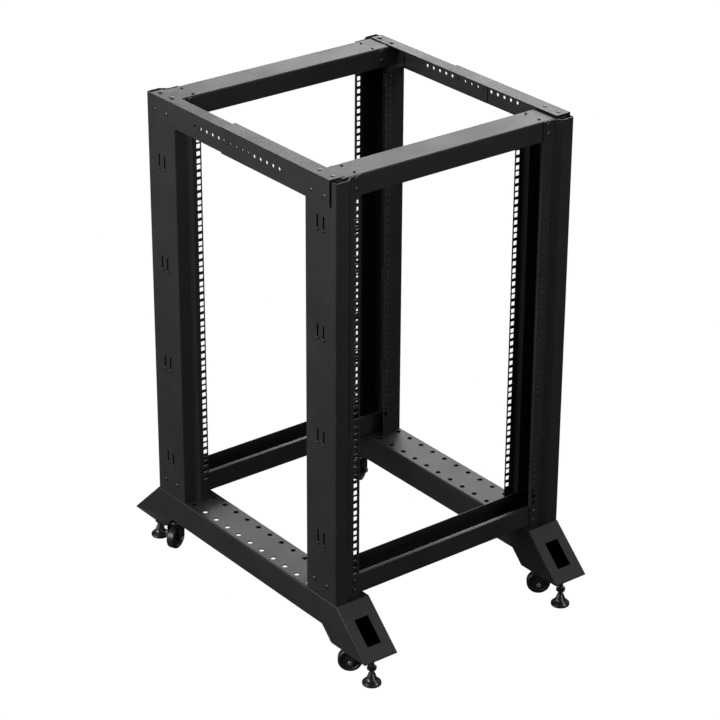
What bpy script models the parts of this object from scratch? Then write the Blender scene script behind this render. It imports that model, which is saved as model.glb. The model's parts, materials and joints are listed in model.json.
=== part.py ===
"""Open-frame equipment rack, 19 inch, 18 units, on casters and levelling feet.

Front is -Y, width runs along X, height along Z, and the floor is Z zero.
The origin lies on the floor under the middle of the frame.
"""

import math

import bmesh
import bpy
from mathutils import Vector

# Rack mounting pattern
RACK_UNIT = 0.04445
RACK_UNITS = 18
HOLES_PER_UNIT = 3
HOLE_STEP = 0.015875
HOLE_FIRST = 0.00635
SQUARE_HOLE = 0.0095

# Frame sizes
FRAME_WIDTH = 0.579
FRAME_DEPTH = 0.619
CLEARANCE = 0.0003
OVERRUN = 0.004

# Post section
POST_SHEET = 0.002
POST_WEB = 0.0959
POST_BEND = 0.003
POST_BEND_STEPS = 3

# Outer flange of a post, whose strip steps back and ends in a lip
OUTER_FLANGE = 0.0663
OUTER_PLAIN = 0.0295
OUTER_JOGGLE_RUN = 0.0135
OUTER_RECESS = 0.0115
OUTER_LIP = 0.006
OUTER_COLUMN_INSET = 0.00935

# Inner flange of a post, whose strip steps out toward the middle of the rack
INNER_FLANGE = 0.0555
INNER_PLAIN = 0.0268
INNER_JOGGLE_RUN = 0.0070
INNER_RISE = 0.0103
INNER_COLUMN_INSET = 0.0068

# Slots in the post webs, in pairs, whose first pair lies some units below the top
SLOT_LENGTH = 0.026
SLOT_WIDTH = 0.0048
SLOT_SPACING = 0.019
SLOT_PAIRS = 4
SLOT_PAIR_UNITS = 5
SLOT_FIRST_UNITS = {
    "front_left": 1,
    "front_right": 2,
    "rear_left": 2,
    "rear_right": 1,
}

# Top rails, each of two telescoping angles
RAIL_SHEET = 0.0017
RAIL_FRONT_FLANGE = 0.0352
RAIL_REAR_FLANGE = 0.0287
RAIL_FRONT_WEB = 0.0545
RAIL_REAR_WEB = 0.0515
RAIL_END_SETBACK = 0.0155
RAIL_FRONT_REACH = 0.049
RAIL_REAR_REACH = 0.050
RAIL_HOLE_STEP = 0.020
RAIL_HOLE_RADIUS = 0.0036
RAIL_HOLE_SIDES = 8
RAIL_HOLE_DROP = 0.0264
RAIL_HOLE_LAST = 7

# Cross beams
BEAM_SHEET = 0.002
BEAM_WIDTH = 0.0656
BEAM_END_GAP = 0.0030
BEAM_TOP_HEIGHT = 0.0418
BEAM_BOTTOM_HEIGHT = 0.0440
BEAM_BEND = 0.003
BEAM_BEND_STEPS = 3
NOTCH_MARGIN = 0.0027

# Base rails with a sloping foot at each end
BASE_SHEET = 0.0025
BASE_WIDTH = 0.0810
BASE_HEIGHT = 0.0598
BASE_TOP_MARGIN = 0.0020
FOOT_DROP = 0.0890
FOOT_REACH = 0.0915
FOOT_TIP_EDGE = 0.0025
FOOT_LENGTH = 0.1091
FOOT_SLOPE_RUN = 0.0300
FOOT_PLATE_SHEET = 0.003
BASE_HOLE_RADIUS = 0.0058
BASE_HOLE_SIDES = 8
BASE_HOLE_STEP = 0.0401
BASE_HOLE_LAST = 5
BASE_HOLE_SPREAD = 0.0502
WINDOW_WIDTH = 0.034
WINDOW_LENGTH = 0.0600
WINDOW_DISTANCE = 0.0365

# Levelling feet
STUD_RADIUS = 0.005
STUD_HOLE_RADIUS = 0.0058
STUD_SHOWS = 0.0124
LEVELLER_SETBACK = 0.0295
PAD_RADIUS = 0.0195
PAD_EDGE = 0.0035
PAD_SHOULDER_RADIUS = 0.0100
PAD_SHOULDER_Z = 0.0125
CONE_TOP_Z = 0.0270
CONE_TOP_RADIUS = 0.0055
PAD_SIDES = 16
NUT_SIDES = 6
NUT_ACROSS_FLATS = 0.017
NUT_HEIGHT = 0.008
NUT_BASE_Z = 0.0330

# Casters
CASTER_SETBACK = 0.0161
CASTER_STEM_SHOWS = 0.0090
CASTER_SEAT_RADIUS = 0.0120
CASTER_SEAT_HEIGHT = 0.0077
CASTER_COLLAR_RADIUS = 0.0105
CASTER_COLLAR_HEIGHT = 0.0040
WHEEL_RADIUS = 0.025
WHEEL_WIDTH = 0.018
WHEEL_ROUNDING = 0.003
WHEEL_RISE = 0.0005
WHEEL_SIDES = 20
WHEEL_HUB_RADIUS = 0.007
WHEEL_SIDE_GAP = 0.005
WHEEL_CROWN_GAP = 0.005
CASTER_TRAIL = 0.004
FORK_CROWN_SHEET = 0.0025
FORK_SHEET = 0.002
FORK_LEG_WIDTH = 0.024
FORK_LEG_TIP = 0.0075
FORK_TIP_STEPS = 4
AXLE_RADIUS = 0.003
AXLE_SIDES = 10
AXLE_HEAD_RADIUS = 0.0055
AXLE_HEAD_HEIGHT = 0.0028
PIN_CLEARANCE = 0.0003
CASTER_HEADINGS = {
    "front_left": -38.0,
    "front_right": -38.0,
    "rear_left": 24.0,
    "rear_right": -150.0,
}

# Places worked out from the sizes above
HALF_WIDTH = FRAME_WIDTH / 2
HALF_DEPTH = FRAME_DEPTH / 2
OUTER_STRIP_START = OUTER_PLAIN + OUTER_JOGGLE_RUN
INNER_STRIP_START = INNER_PLAIN + INNER_JOGGLE_RUN
INNER_STRIP_FACE = POST_WEB + INNER_RISE

WHEEL_AXIS_Z = WHEEL_RISE + WHEEL_RADIUS
FORK_CROWN_LOW = WHEEL_AXIS_Z + WHEEL_RADIUS + WHEEL_CROWN_GAP
FORK_CROWN_TOP = FORK_CROWN_LOW + FORK_CROWN_SHEET
COLLAR_LOW = FORK_CROWN_TOP + CLEARANCE
COLLAR_TOP = COLLAR_LOW + CASTER_COLLAR_HEIGHT
CASTER_SEAT_LOW = COLLAR_TOP + CLEARANCE
CASTER_SEAT_TOP = CASTER_SEAT_LOW + CASTER_SEAT_HEIGHT
FOOT_BOTTOM_Z = CASTER_SEAT_TOP + CLEARANCE
FOOT_FLOOR_Z = FOOT_BOTTOM_Z + FOOT_PLATE_SHEET
BASE_TOP_Z = FOOT_BOTTOM_Z + FOOT_DROP
STUD_TOP_Z = FOOT_FLOOR_Z + STUD_SHOWS
CASTER_STEM_TOP = FOOT_FLOOR_Z + CASTER_STEM_SHOWS

BASE_TOP_HALF = HALF_DEPTH + BASE_TOP_MARGIN
FOOT_TIP_Y = BASE_TOP_HALF + FOOT_REACH
FOOT_TIP_Z = FOOT_BOTTOM_Z + FOOT_TIP_EDGE
FOOT_INNER_Y = FOOT_TIP_Y - FOOT_LENGTH
FOOT_SLOPE_Y = FOOT_INNER_Y - FOOT_SLOPE_RUN
BASE_CENTRE_X = HALF_WIDTH - BASE_WIDTH / 2
LEVELLER_Y = FOOT_TIP_Y - LEVELLER_SETBACK
CASTER_Y = FOOT_INNER_Y + CASTER_SETBACK

POST_BASE_Z = BASE_TOP_Z + CLEARANCE
UNITS_BASE_Z = POST_BASE_Z + BEAM_BOTTOM_HEIGHT + NOTCH_MARGIN
UNITS_TOP_Z = UNITS_BASE_Z + RACK_UNITS * RACK_UNIT
BEAM_TOP_Z = UNITS_TOP_Z + NOTCH_MARGIN + BEAM_TOP_HEIGHT
POST_TOP_Z = BEAM_TOP_Z
BEAM_HALF_LENGTH = HALF_WIDTH - POST_SHEET - BEAM_END_GAP
BEAM_FACE = OUTER_RECESS + POST_SHEET + CLEARANCE
BEAM_OUTER_Y = HALF_DEPTH - BEAM_FACE
RAIL_HALF = HALF_DEPTH - RAIL_END_SETBACK

# Coats as shade, roughness and metallic value
COATS = {
    "post": (0.020, 0.55, 0),
    "beam": (0.021, 0.55, 0),
    "top_rail": (0.022, 0.55, 0),
    "base_rail": (0.022, 0.55, 0),
    "levelling_foot": (0.012, 0.18, 0),
    "foot_nut": (0.015, 0.40, 0),
    "caster_stem": (0.020, 0.40, 0.5),
    "caster_collar": (0.550, 0.30, 1),
    "caster_fork": (0.018, 0.50, 0),
    "caster_wheel": (0.015, 0.45, 0),
    "caster_axle": (0.350, 0.40, 1),
}

SIDES = {"left": -1, "right": 1}
ENDS = {"front": -1, "rear": 1}


def clear_scene():
    """Remove every object that the start file brings."""
    for old in list(bpy.data.objects):
        bpy.data.objects.remove(old, do_unlink=True)


def material(name, shade, roughness, metallic):
    """Make one plain coat with its own name."""
    made = bpy.data.materials.new(name)
    made.use_nodes = True
    shader = made.node_tree.nodes["Principled BSDF"]
    shader.inputs["Base Color"].default_value = (shade, shade, shade, 1)
    shader.inputs["Roughness"].default_value = roughness
    shader.inputs["Metallic"].default_value = metallic
    made.diffuse_color = (shade, shade, shade, 1)
    return made


def place(name, shape, coat, smooth=False):
    """Turn a bmesh into a named object with its coat."""
    bmesh.ops.recalc_face_normals(shape, faces=shape.faces)
    data = bpy.data.meshes.new(name)
    shape.to_mesh(data)
    shape.free()
    for face in data.polygons:
        face.use_smooth = smooth
    item = bpy.data.objects.new(name, data)
    bpy.context.scene.collection.objects.link(item)
    if coat is not None:
        data.materials.append(coat)
    return item


def extrude_outline(shape, outline, axis, low, high):
    """Add a closed prism whose section is the outline, along one axis."""
    rings = []
    for level in (low, high):
        ring = []
        for first, second in outline:
            point = {"x": (level, first, second),
                     "y": (first, level, second),
                     "z": (first, second, level)}[axis]
            ring.append(shape.verts.new(point))
        rings.append(ring)
    count = len(outline)
    shape.faces.new(rings[0])
    shape.faces.new(list(reversed(rings[1])))
    for index in range(count):
        follow = (index + 1) % count
        shape.faces.new((rings[0][index], rings[0][follow],
                         rings[1][follow], rings[1][index]))


def box_outline(low, high):
    """Give the four corners between two opposite ones."""
    return [(low[0], low[1]), (high[0], low[1]),
            (high[0], high[1]), (low[0], high[1])]


def add_box(shape, low, high):
    """Add a box between two opposite corners."""
    outline = box_outline((low[0], low[1]), (high[0], high[1]))
    extrude_outline(shape, outline, "z", low[2], high[2])


def round_outline(centre, radius, sides):
    """Give a regular outline with a flat side at the bottom."""
    points = []
    for index in range(sides):
        turn = 2 * math.pi * (index + 0.5) / sides
        points.append((centre[0] + radius * math.sin(turn),
                       centre[1] - radius * math.cos(turn)))
    return points


def bend_path(path, radius, steps):
    """Round every inner corner of an open path with a short arc."""
    bent = [Vector(path[0])]
    for index in range(1, len(path) - 1):
        before = Vector(path[index - 1])
        corner = Vector(path[index])
        after = Vector(path[index + 1])
        toward = (before - corner).normalized()
        away = (after - corner).normalized()
        half = toward.angle(away) / 2
        trim = radius / math.tan(half)
        start = corner + toward * trim
        end = corner + away * trim
        middle = corner + (toward + away).normalized() * (radius / math.sin(half))
        first = start - middle
        sweep = first.angle_signed(end - middle)
        for step in range(steps + 1):
            turn = -sweep * step / steps
            spin = Vector((first.x * math.cos(turn) - first.y * math.sin(turn),
                           first.x * math.sin(turn) + first.y * math.cos(turn)))
            bent.append(middle + spin)
    bent.append(Vector(path[-1]))
    return bent


def sheet_outline(path, sheet):
    """Thicken an open path to its left by the sheet."""
    inner = []
    count = len(path)
    for index in range(count):
        normals = []
        if index > 0:
            run = (path[index] - path[index - 1]).normalized()
            normals.append(Vector((-run.y, run.x)))
        if index < count - 1:
            run = (path[index + 1] - path[index]).normalized()
            normals.append(Vector((-run.y, run.x)))
        mean = sum(normals, Vector((0, 0))).normalized()
        inner.append(path[index] + mean * (sheet / mean.dot(normals[0])))
    return [tuple(point) for point in list(path) + list(reversed(inner))]


def cutter(name, shape):
    """Keep a shape as a cutting tool that never shows."""
    tool = place(name, shape, None)
    tool.hide_render = True
    tool.display_type = "WIRE"
    return tool


def cut(item, tool):
    """Take the tool's shape out of the item."""
    step = item.modifiers.new(tool.name, "BOOLEAN")
    step.operation = "DIFFERENCE"
    step.solver = "EXACT"
    step.object = tool


def build_post(end, side, coat):
    """Build one C-section post with its two rows of square holes."""
    label = end + "_" + side
    name = "post_" + label
    across = SIDES[side]
    along = ENDS[end]

    path = [
        (INNER_FLANGE, INNER_STRIP_FACE),
        (INNER_STRIP_START, INNER_STRIP_FACE),
        (INNER_PLAIN, POST_WEB),
        (0, POST_WEB),
        (0, 0),
        (OUTER_PLAIN, 0),
        (OUTER_STRIP_START, OUTER_RECESS),
        (OUTER_FLANGE, OUTER_RECESS),
        (OUTER_FLANGE, OUTER_RECESS + OUTER_LIP),
    ]
    bent = path[:3] + [tuple(point) for point in
                       bend_path(path[2:6], POST_BEND, POST_BEND_STEPS)][1:-1] + path[5:]
    section = sheet_outline([Vector(point) for point in bent], POST_SHEET)

    def world(point):
        return (across * (HALF_WIDTH - point[0]), along * (HALF_DEPTH - point[1]))

    shape = bmesh.new()
    extrude_outline(shape, [world(point) for point in section], "z", POST_BASE_Z, POST_TOP_Z)
    item = place(name, shape, coat)

    columns = (
        (OUTER_FLANGE - OUTER_COLUMN_INSET, OUTER_RECESS),
        (INNER_FLANGE - INNER_COLUMN_INSET, INNER_STRIP_FACE - POST_SHEET),
    )
    holes = bmesh.new()
    half = SQUARE_HOLE / 2
    for centre, face in columns:
        near = world((centre - half, face - OVERRUN))
        far = world((centre + half, face + POST_SHEET + OVERRUN))
        for unit in range(RACK_UNITS):
            for row in range(HOLES_PER_UNIT):
                middle = UNITS_BASE_Z + unit * RACK_UNIT + HOLE_FIRST + row * HOLE_STEP
                add_box(holes, (near[0], near[1], middle - half), (far[0], far[1], middle + half))
    cut(item, cutter(name + "_hole_tool", holes))

    slots = bmesh.new()
    for pair in range(SLOT_PAIRS):
        units_down = SLOT_FIRST_UNITS[label] + pair * SLOT_PAIR_UNITS
        centre = UNITS_TOP_Z - units_down * RACK_UNIT
        for shift in (-SLOT_SPACING / 2, SLOT_SPACING / 2):
            middle = POST_WEB / 2 + shift
            start = world((-OVERRUN, middle - SLOT_WIDTH / 2))
            stop = world((POST_SHEET + OVERRUN, middle + SLOT_WIDTH / 2))
            add_box(slots, (start[0], start[1], centre - SLOT_LENGTH / 2),
                    (stop[0], stop[1], centre + SLOT_LENGTH / 2))
    cut(item, cutter(name + "_slot_tool", slots))

    notches = bmesh.new()
    lip_start = world((OUTER_FLANGE - POST_SHEET - NOTCH_MARGIN, OUTER_RECESS + POST_SHEET))
    lip_stop = world((OUTER_FLANGE + OVERRUN, OUTER_RECESS + OUTER_LIP + OVERRUN))
    add_box(notches, (lip_start[0], lip_start[1], POST_BASE_Z - OVERRUN),
            (lip_stop[0], lip_stop[1], UNITS_BASE_Z))
    add_box(notches, (lip_start[0], lip_start[1], UNITS_TOP_Z),
            (lip_stop[0], lip_stop[1], POST_TOP_Z + OVERRUN))
    flange_start = world((POST_SHEET, POST_WEB - POST_SHEET - NOTCH_MARGIN))
    flange_stop = world((INNER_FLANGE + OVERRUN, INNER_STRIP_FACE + OVERRUN))
    add_box(notches, (flange_start[0], flange_start[1], UNITS_TOP_Z),
            (flange_stop[0], flange_stop[1], POST_TOP_Z + OVERRUN))
    cut(item, cutter(name + "_notch_tool", notches))
    return item


def rail_holes(name, item, across, face, top, low, high):
    """Drill the row of round holes that sets the frame's depth."""
    holes = bmesh.new()
    for index in range(-RAIL_HOLE_LAST, RAIL_HOLE_LAST + 1):
        middle = index * RAIL_HOLE_STEP
        inside = low + RAIL_HOLE_RADIUS < middle < high - RAIL_HOLE_RADIUS
        if inside:
            outline = round_outline((middle, top), RAIL_HOLE_RADIUS, RAIL_HOLE_SIDES)
            ends = sorted((across * (face - OVERRUN), across * (face + OVERRUN)))
            extrude_outline(holes, outline, "x", ends[0], ends[1])
    cut(item, cutter(name + "_hole_tool", holes))


def build_top_rail(side, coat):
    """Build the two telescoping angles over one pair of posts."""
    across = SIDES[side]
    rear_face = HALF_WIDTH + CLEARANCE + RAIL_SHEET
    rear_top = POST_TOP_Z + CLEARANCE + RAIL_SHEET
    front_face = rear_face + CLEARANCE + RAIL_SHEET
    front_top = rear_top + CLEARANCE + RAIL_SHEET
    hole_z = front_top - RAIL_HOLE_DROP

    rear_path = [
        (rear_face - RAIL_REAR_FLANGE, rear_top),
        (rear_face, rear_top),
        (rear_face, rear_top - RAIL_REAR_WEB),
    ]
    front_path = [
        (front_face - RAIL_FRONT_FLANGE, front_top),
        (front_face, front_top),
        (front_face, front_top - RAIL_FRONT_WEB),
    ]
    made = []
    pieces = (
        ("rear", rear_path, -RAIL_REAR_REACH, RAIL_HALF, rear_face),
        ("front", front_path, -RAIL_HALF, RAIL_FRONT_REACH, front_face),
    )
    for label, path, low, high, face in pieces:
        name = side + "_top_rail_" + label + "_piece"
        section = sheet_outline([Vector(point) for point in reversed(path)], RAIL_SHEET)
        shape = bmesh.new()
        outline = [(across * point[0], point[1]) for point in section]
        extrude_outline(shape, outline, "y", low, high)
        item = place(name, shape, coat)
        rail_holes(name, item, across, face, hole_z, low, high)
        made.append(item)
    return made


def build_beam(end, level, coat):
    """Build one cross beam, a channel that opens down or up."""
    name = end + "_" + level + "_beam"
    along = ENDS[end]
    outer = BEAM_OUTER_Y
    inner = BEAM_OUTER_Y - BEAM_WIDTH
    if level == "top":
        free = BEAM_TOP_Z - BEAM_TOP_HEIGHT
        closed = BEAM_TOP_Z
        path = [(inner, free), (inner, closed), (outer, closed), (outer, free)]
        bent = bend_path([Vector(point) for point in reversed(path)], BEAM_BEND, BEAM_BEND_STEPS)
    else:
        free = POST_BASE_Z + BEAM_BOTTOM_HEIGHT
        closed = POST_BASE_Z
        path = [(inner, free), (inner, closed), (outer, closed), (outer, free)]
        bent = bend_path([Vector(point) for point in path], BEAM_BEND, BEAM_BEND_STEPS)
    section = sheet_outline(bent, BEAM_SHEET)
    shape = bmesh.new()
    outline = [(along * point[0], point[1]) for point in section]
    extrude_outline(shape, outline, "x", -BEAM_HALF_LENGTH, BEAM_HALF_LENGTH)
    return place(name, shape, coat)


def build_base_rail(side, coat):
    """Build one base rail, a folded channel with a foot at each end."""
    name = side + "_base_rail"
    across = SIDES[side]
    outer_x = HALF_WIDTH
    inner_x = HALF_WIDTH - BASE_WIDTH
    top = BASE_TOP_Z
    low = FOOT_BOTTOM_Z
    belly = BASE_TOP_Z - BASE_HEIGHT

    half = [
        (BASE_TOP_HALF, top),
        (FOOT_TIP_Y, FOOT_TIP_Z),
        (FOOT_TIP_Y, low),
        (FOOT_INNER_Y, low),
        (FOOT_SLOPE_Y, belly),
    ]
    mirrored = [(-point[0], point[1]) for point in reversed(half)]
    profile = half + mirrored
    shape = bmesh.new()
    edges = sorted((across * outer_x, across * inner_x))
    extrude_outline(shape, profile, "x", edges[0], edges[1])
    item = place(name, shape, coat)

    slope = Vector((FOOT_TIP_Y - BASE_TOP_HALF, FOOT_TIP_Z - top))
    fall = slope.normalized()
    inward = Vector((fall.y, -fall.x)) * BASE_SHEET
    ceiling = top - BASE_SHEET
    floor = FOOT_FLOOR_Z
    start = Vector((BASE_TOP_HALF, top)) + inward
    ceiling_y = start.x + fall.x * (ceiling - start.y) / fall.y
    floor_y = start.x + fall.x * (floor - start.y) / fall.y
    knee = Vector((FOOT_SLOPE_Y, belly))
    descent = (Vector((FOOT_INNER_Y, low)) - knee).normalized()
    lifted = knee + Vector((-descent.y, descent.x)) * FOOT_PLATE_SHEET
    plate_y = lifted.x + descent.x * (floor - lifted.y) / descent.y
    half_room = [
        (ceiling_y, ceiling),
        (floor_y, floor),
        (plate_y, floor),
        tuple(lifted),
        tuple(knee),
        (FOOT_SLOPE_Y, belly - OVERRUN),
    ]
    hollow = bmesh.new()
    room = half_room + [(-point[0], point[1]) for point in reversed(half_room)]
    walls = sorted((across * (outer_x - BASE_SHEET), across * (inner_x + BASE_SHEET)))
    extrude_outline(hollow, room, "x", walls[0], walls[1])
    cut(item, cutter(name + "_hollow_tool", hollow))

    holes = bmesh.new()
    for index in range(-BASE_HOLE_LAST, BASE_HOLE_LAST + 1):
        for shift in (-BASE_HOLE_SPREAD / 2, BASE_HOLE_SPREAD / 2):
            centre = (across * (BASE_CENTRE_X + shift), index * BASE_HOLE_STEP)
            outline = round_outline(centre, BASE_HOLE_RADIUS, BASE_HOLE_SIDES)
            extrude_outline(holes, outline, "z", ceiling - OVERRUN, top + OVERRUN)
    for along in ENDS.values():
        for place_y in (LEVELLER_Y, CASTER_Y):
            centre = (across * BASE_CENTRE_X, along * place_y)
            outline = round_outline(centre, STUD_HOLE_RADIUS, PAD_SIDES)
            extrude_outline(holes, outline, "z", low - OVERRUN, floor + OVERRUN)
    cut(item, cutter(name + "_hole_tool", holes))

    windows = bmesh.new()
    across_window = sorted((across * (BASE_CENTRE_X - WINDOW_WIDTH / 2),
                            across * (BASE_CENTRE_X + WINDOW_WIDTH / 2)))
    outside = Vector((-fall.y, fall.x)) * OVERRUN
    inside = Vector((fall.y, -fall.x)) * (BASE_SHEET + OVERRUN)
    upper = Vector((BASE_TOP_HALF, top)) + fall * WINDOW_DISTANCE
    lower = upper + fall * WINDOW_LENGTH
    pane = [upper + outside, lower + outside, lower + inside, upper + inside]
    for along in ENDS.values():
        outline = [(along * point.x, point.y) for point in pane]
        extrude_outline(windows, outline, "x", across_window[0], across_window[1])
    cut(item, cutter(name + "_window_tool", windows))
    return item


def lathe(shape, profile, sides):
    """Spin a profile of radius and height from axis to axis."""
    rings = []
    for radius, height in profile:
        if radius == 0:
            rings.append([shape.verts.new((0, 0, height))])
            continue
        ring = []
        for index in range(sides):
            turn = 2 * math.pi * index / sides
            ring.append(shape.verts.new((radius * math.cos(turn),
                                         radius * math.sin(turn), height)))
        rings.append(ring)
    for lower, upper in zip(rings, rings[1:]):
        for index in range(sides):
            follow = (index + 1) % sides
            if len(lower) == 1:
                shape.faces.new((lower[0], upper[follow], upper[index]))
            elif len(upper) == 1:
                shape.faces.new((lower[index], lower[follow], upper[0]))
            else:
                shape.faces.new((lower[index], lower[follow], upper[follow], upper[index]))


def lathe_ring(shape, profile, sides):
    """Spin a profile that closes on itself, so that a bore stays open."""
    rings = []
    for radius, height in profile[:-1]:
        ring = []
        for index in range(sides):
            turn = 2 * math.pi * index / sides
            ring.append(shape.verts.new((radius * math.cos(turn),
                                         radius * math.sin(turn), height)))
        rings.append(ring)
    count = len(rings)
    for level in range(count):
        lower = rings[level]
        upper = rings[(level + 1) % count]
        for index in range(sides):
            follow = (index + 1) % sides
            shape.faces.new((lower[index], lower[follow], upper[follow], upper[index]))


def build_leveller(end, side, coat, nut_coat):
    """Build one levelling foot: pad, cone and stud, with its hexagon."""
    label = end + "_" + side
    place_at = Vector((SIDES[side] * BASE_CENTRE_X, ENDS[end] * LEVELLER_Y, 0))
    profile = [
        (0, 0),
        (PAD_RADIUS, 0),
        (PAD_RADIUS, PAD_EDGE),
        (PAD_SHOULDER_RADIUS, PAD_SHOULDER_Z),
        (CONE_TOP_RADIUS, CONE_TOP_Z),
        (STUD_RADIUS, CONE_TOP_Z + CLEARANCE),
        (STUD_RADIUS, STUD_TOP_Z),
        (0, STUD_TOP_Z),
    ]
    shape = bmesh.new()
    lathe(shape, profile, PAD_SIDES)
    foot = place("levelling_foot_" + label, shape, coat, smooth=True)
    foot.location = place_at

    ring = bmesh.new()
    corner = NUT_ACROSS_FLATS / 2 / math.cos(math.pi / NUT_SIDES)
    outline = round_outline((0, 0), corner, NUT_SIDES)
    extrude_outline(ring, outline, "z", NUT_BASE_Z, NUT_BASE_Z + NUT_HEIGHT)
    nut = place("foot_nut_" + label, ring, nut_coat)
    nut.location = place_at
    hole = bmesh.new()
    extrude_outline(hole, round_outline((0, 0), STUD_HOLE_RADIUS, PAD_SIDES), "z",
                    NUT_BASE_Z - OVERRUN, NUT_BASE_Z + NUT_HEIGHT + OVERRUN)
    tool = cutter("foot_nut_" + label + "_bore_tool", hole)
    tool.location = place_at
    cut(nut, tool)
    return foot, nut


def build_caster(end, side, coats):
    """Build one swivel caster: plate, fork, wheel and axle."""
    label = end + "_" + side
    pivot = Vector((SIDES[side] * BASE_CENTRE_X, ENDS[end] * CASTER_Y, 0))
    heading = math.radians(CASTER_HEADINGS[label])

    stem = bmesh.new()
    profile = [
        (0, CASTER_SEAT_LOW),
        (CASTER_SEAT_RADIUS, CASTER_SEAT_LOW),
        (CASTER_SEAT_RADIUS, CASTER_SEAT_TOP),
        (STUD_RADIUS, CASTER_SEAT_TOP),
        (STUD_RADIUS, CASTER_STEM_TOP),
        (0, CASTER_STEM_TOP),
    ]
    lathe(stem, profile, PAD_SIDES)
    stem_item = place("caster_stem_" + label, stem, coats["caster_stem"])
    stem_item.location = pivot

    collar = bmesh.new()
    profile = [
        (0, COLLAR_LOW),
        (CASTER_COLLAR_RADIUS, COLLAR_LOW),
        (CASTER_COLLAR_RADIUS, COLLAR_TOP),
        (0, COLLAR_TOP),
    ]
    lathe(collar, profile, PAD_SIDES)
    collar_item = place("caster_collar_" + label, collar, coats["caster_collar"])
    collar_item.location = pivot

    turner = bpy.data.objects.new("caster_swivel_" + label, None)
    bpy.context.scene.collection.objects.link(turner)
    turner.location = pivot
    turner.rotation_euler = (0, 0, heading)

    inner = WHEEL_WIDTH / 2 + WHEEL_SIDE_GAP
    outer = inner + FORK_SHEET
    reach = FORK_LEG_WIDTH / 2
    fork = bmesh.new()
    leg = [(-reach, FORK_CROWN_TOP)]
    for step in range(FORK_TIP_STEPS + 1):
        turn = math.pi * step / FORK_TIP_STEPS
        leg.append((-CASTER_TRAIL - FORK_LEG_TIP * math.cos(turn),
                    WHEEL_AXIS_Z - FORK_LEG_TIP * math.sin(turn)))
    leg.append((reach, FORK_CROWN_TOP))
    extrude_outline(fork, leg, "y", -outer, outer)
    fork_item = place("caster_fork_" + label, fork, coats["caster_fork"])
    fork_item.parent = turner
    room = bmesh.new()
    add_box(room, (-CASTER_TRAIL - reach - OVERRUN, -inner, -OVERRUN),
            (reach + OVERRUN, inner, FORK_CROWN_LOW))
    room_tool = cutter("caster_fork_" + label + "_room_tool", room)
    room_tool.parent = turner
    cut(fork_item, room_tool)
    bore = bmesh.new()
    bore_outline = round_outline((-CASTER_TRAIL, WHEEL_AXIS_Z), AXLE_RADIUS + PIN_CLEARANCE, AXLE_SIDES)
    extrude_outline(bore, bore_outline, "y", -outer - OVERRUN, outer + OVERRUN)
    bore_tool = cutter("caster_fork_" + label + "_bore_tool", bore)
    bore_tool.parent = turner
    cut(fork_item, bore_tool)

    roller = bpy.data.objects.new("caster_axis_" + label, None)
    bpy.context.scene.collection.objects.link(roller)
    roller.parent = turner
    roller.location = (-CASTER_TRAIL, 0, WHEEL_AXIS_Z)
    roller.rotation_euler = (math.radians(90), 0, 0)

    hub = inner - CLEARANCE
    bore_radius = AXLE_RADIUS + PIN_CLEARANCE
    face = WHEEL_WIDTH / 2
    wheel = bmesh.new()
    profile = [
        (bore_radius, -hub),
        (WHEEL_HUB_RADIUS, -hub),
        (WHEEL_HUB_RADIUS, -face),
        (WHEEL_RADIUS - WHEEL_ROUNDING, -face),
        (WHEEL_RADIUS, -face + WHEEL_ROUNDING),
        (WHEEL_RADIUS, face - WHEEL_ROUNDING),
        (WHEEL_RADIUS - WHEEL_ROUNDING, face),
        (WHEEL_HUB_RADIUS, face),
        (WHEEL_HUB_RADIUS, hub),
        (bore_radius, hub),
        (bore_radius, -hub),
    ]
    lathe_ring(wheel, profile, WHEEL_SIDES)
    wheel_item = place("caster_wheel_" + label, wheel, coats["caster_wheel"])
    wheel_item.parent = roller

    axle = bmesh.new()
    head = outer + CLEARANCE
    profile = [
        (0, -head - AXLE_HEAD_HEIGHT),
        (AXLE_HEAD_RADIUS, -head - AXLE_HEAD_HEIGHT),
        (AXLE_HEAD_RADIUS, -head),
        (AXLE_RADIUS, -head),
        (AXLE_RADIUS, head),
        (AXLE_HEAD_RADIUS, head),
        (AXLE_HEAD_RADIUS, head + AXLE_HEAD_HEIGHT),
        (0, head + AXLE_HEAD_HEIGHT),
    ]
    lathe(axle, profile, AXLE_SIDES)
    axle_item = place("caster_axle_" + label, axle, coats["caster_axle"])
    axle_item.parent = roller


def build():
    """Build the whole rack."""
    clear_scene()
    coats = {name: material(name + "_coat", *values) for name, values in COATS.items()}
    for end in ENDS:
        for side in SIDES:
            build_post(end, side, coats["post"])
            build_leveller(end, side, coats["levelling_foot"], coats["foot_nut"])
            build_caster(end, side, coats)
        for level in ("top", "bottom"):
            build_beam(end, level, coats["beam"])
    for side in SIDES:
        build_top_rail(side, coats["top_rail"])
        build_base_rail(side, coats["base_rail"])


build()
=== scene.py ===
"""Looks of the open-frame rack: powder coat, screws, threads, feet, casters, light and camera."""
import json
import math

import bmesh
import bpy
from mathutils import Matrix, Vector


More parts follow.
